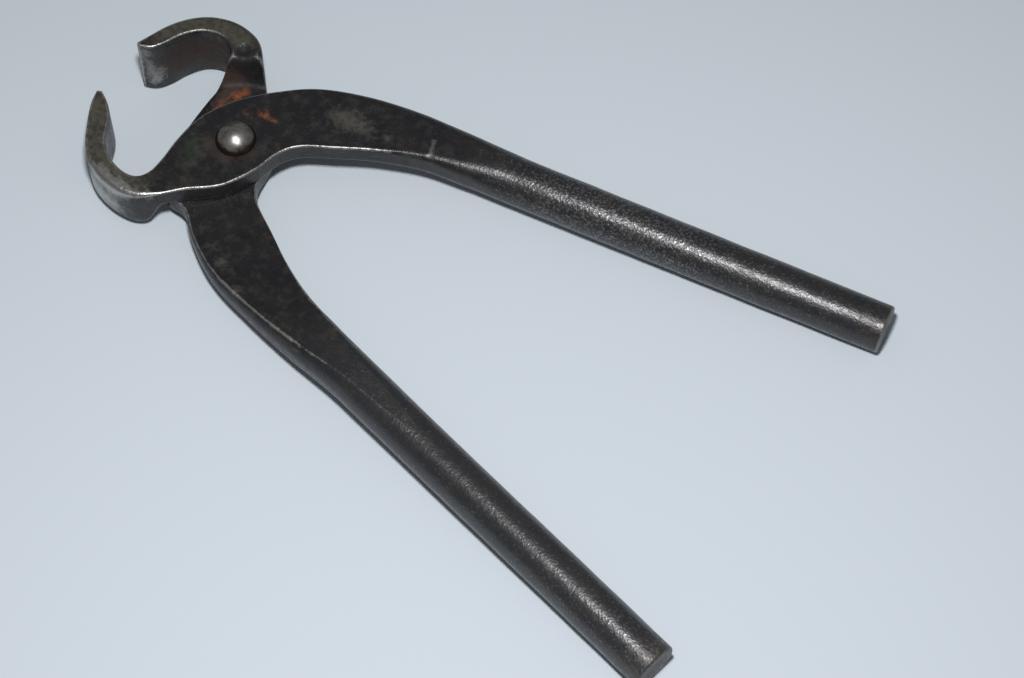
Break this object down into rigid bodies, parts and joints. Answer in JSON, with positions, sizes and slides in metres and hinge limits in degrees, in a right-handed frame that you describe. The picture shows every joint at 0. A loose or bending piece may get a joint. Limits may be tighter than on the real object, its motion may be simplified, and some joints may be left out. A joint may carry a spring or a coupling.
{
  "type": "forged pincers",
  "caption": "Old forged steel pincers: two crossed levers on a domed rivet, with a hooked pointed jaw, a wide blunt jaw and long round handles.",
  "frame": {"origin": "middle of the object's box in plan, at the height of the blunt jaw's back face, which is the lowest plane of the tool", "axes": "+Z along the rivet towards its high dome, +X from the jaws towards the handle ends along the line halfway between the handles"},
  "size_m": [0.213, 0.1249, 0.0227],
  "materials": {
    "front_lever_steel": "blackened forge scale, worn bright along the edges",
    "back_lever_steel": "blackened forge scale, grey worn jaw, rust at the lap",
    "rivet_steel": "worn grey steel, rust ring at the foot"
  },
  "bodies": {
    "front": {"front_lever": "front_lever_steel", "rivet": "rivet_steel"},
    "back": {"back_lever": "back_lever_steel"}
  },
  "joints": [
    {"name": "rivet_pivot", "type": "hinge", "parent": "front", "child": "back", "pos_m": [-0.0669, 0.0003, 0.012], "axis": [0, 0, 1], "range_deg": [-15, 22]}
  ]
}
